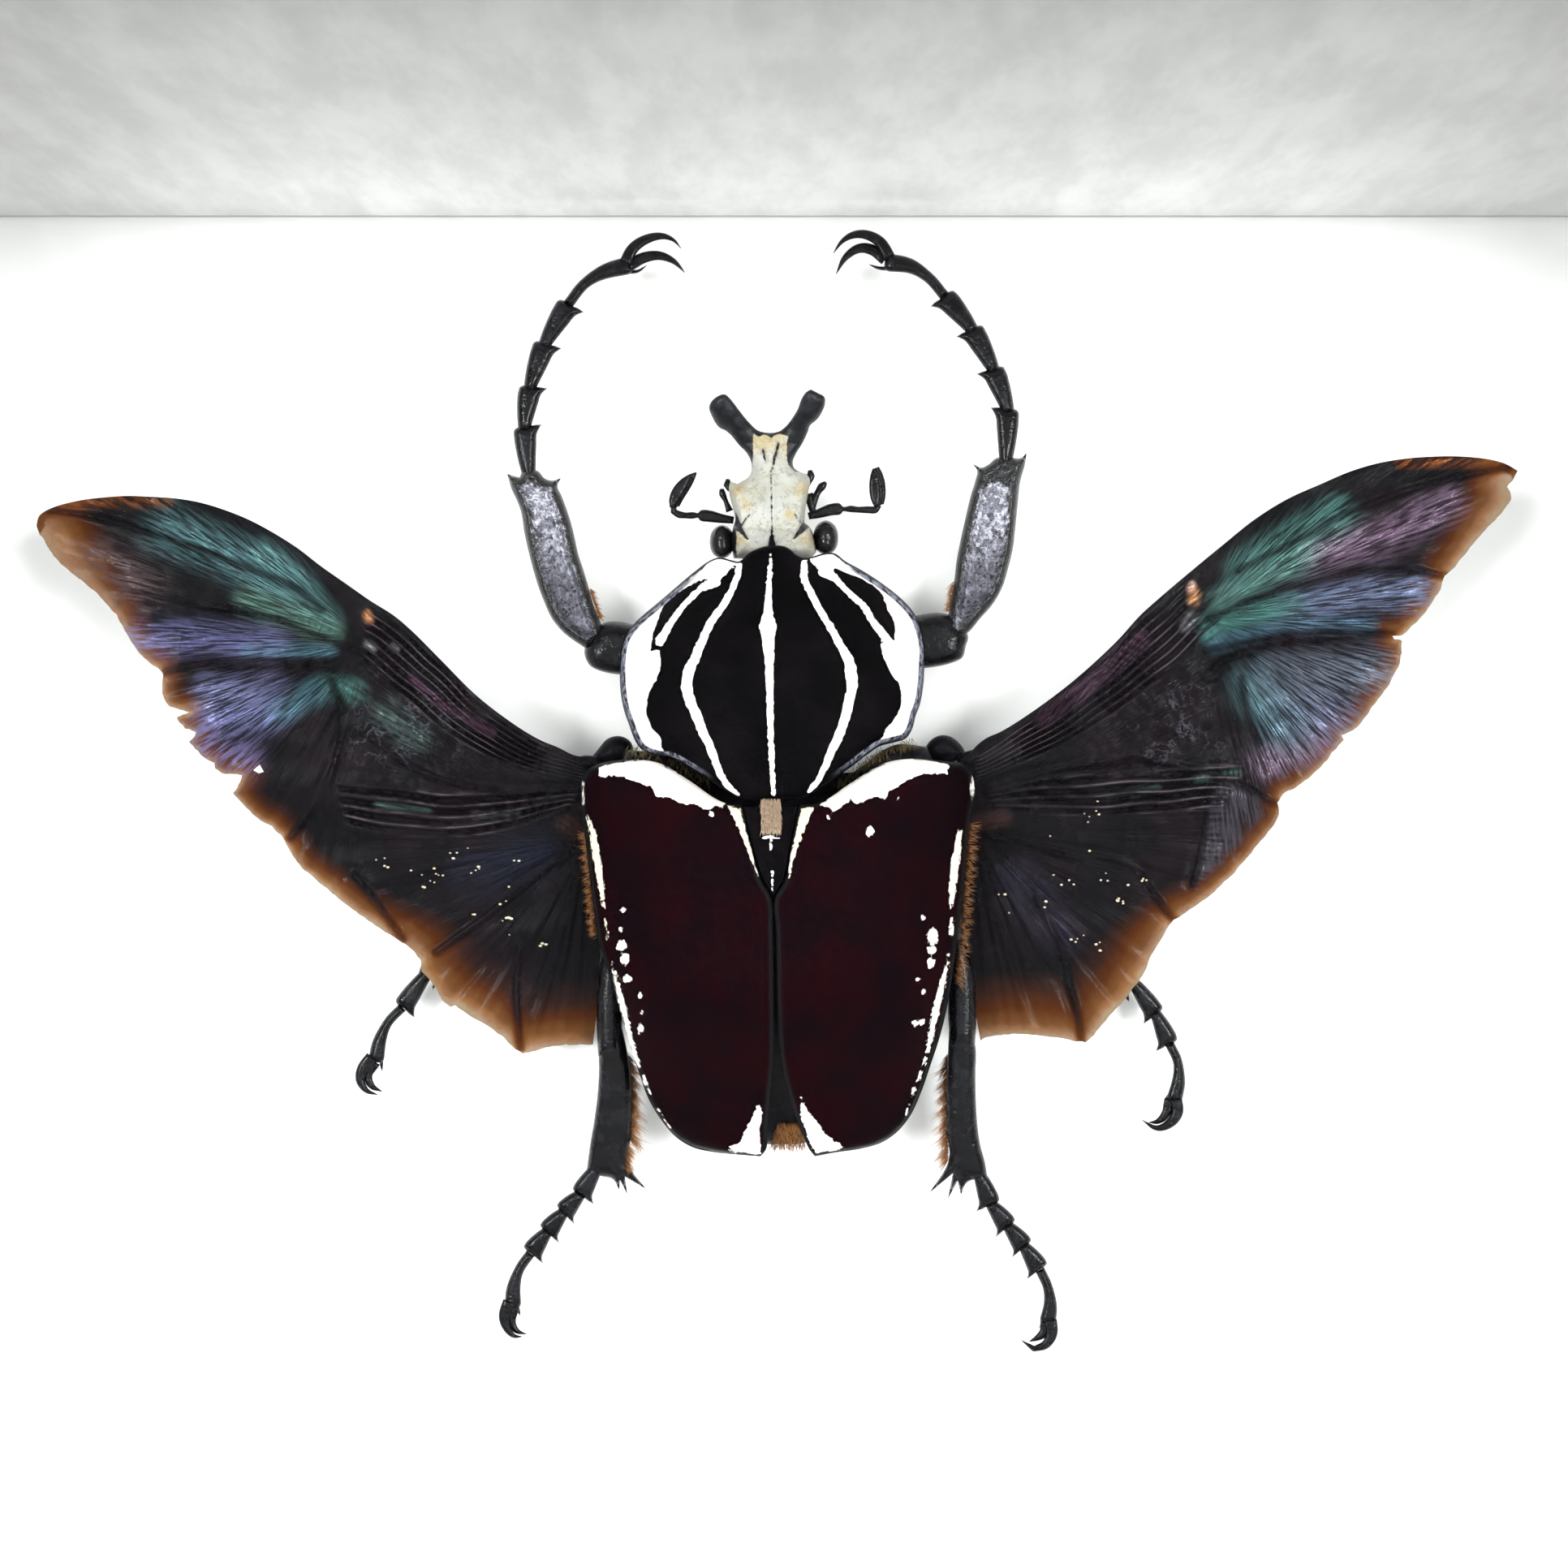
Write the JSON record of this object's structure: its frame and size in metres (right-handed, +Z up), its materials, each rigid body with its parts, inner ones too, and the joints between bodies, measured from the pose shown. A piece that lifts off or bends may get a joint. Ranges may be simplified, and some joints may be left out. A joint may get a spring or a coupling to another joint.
{
  "type": "framed goliath beetle",
  "caption": "Dried goliath beetle with spread hindwings on a white board, in a deep glazed wooden shadow box that stands on its bottom rail or hangs on a wall.",
  "frame": {"origin": "middle of the box's outline, on the plane that its bottom rail stands on", "axes": "+Z up along the box's height, +X to the right as one faces the glass, -Y out of the glass towards the viewer"},
  "size_m": [0.2746, 0.0724, 0.2236],
  "materials": {
    "case_wood": "black-stained wood, satin, fine open grain",
    "clear_glass": "clear picture glass, polished",
    "liner_card": "white paper-faced card, matt, slightly mottled",
    "white_board": "white mount board, matt",
    "brown_board": "brown hardboard, smooth side out",
    "plated_steel": "thin zinc-plated steel",
    "beetle_black": "glossy black beetle cuticle",
    "head_cream": "cream scaled cuticle with black horns, eyes and mouthparts",
    "pronotum_striped": "black velvety cuticle with white stripes and sides",
    "elytra_maroon": "dark maroon velvety wing cases with white bands and spots",
    "wing_membrane": "thin brown wing membrane with glossy veins and a blue-green sheen"
  },
  "bodies": {
    "root": {"rail_top": "case_wood", "rail_bottom": "case_wood", "rail_left": "case_wood", "rail_right": "case_wood", "glass_pane": "clear_glass", "liner_top": "liner_card", "liner_bottom": "liner_card", "liner_left": "liner_card", "liner_right": "liner_card", "backing_board": "white_board", "back_panel": "brown_board", "turn_button_1": "plated_steel", "turn_button_2": "plated_steel", "turn_button_3": "plated_steel", "turn_button_4": "plated_steel", "turn_button_5": "plated_steel", "turn_button_6": "plated_steel", "sawtooth_hanger": "plated_steel", "body": "beetle_black", "head": "head_cream", "pronotum": "pronotum_striped", "scutellum": "beetle_black", "elytron_left": "elytra_maroon", "elytron_right": "elytra_maroon", "hindwing_left": "wing_membrane", "hindwing_right": "wing_membrane", "foreleg_left": "beetle_black", "foreleg_right": "beetle_black", "midleg_left": "beetle_black", "midleg_right": "beetle_black", "hindleg_left": "beetle_black", "hindleg_right": "beetle_black", "antenna_left": "beetle_black", "antenna_right": "beetle_black"}
  },
  "joints": []
}
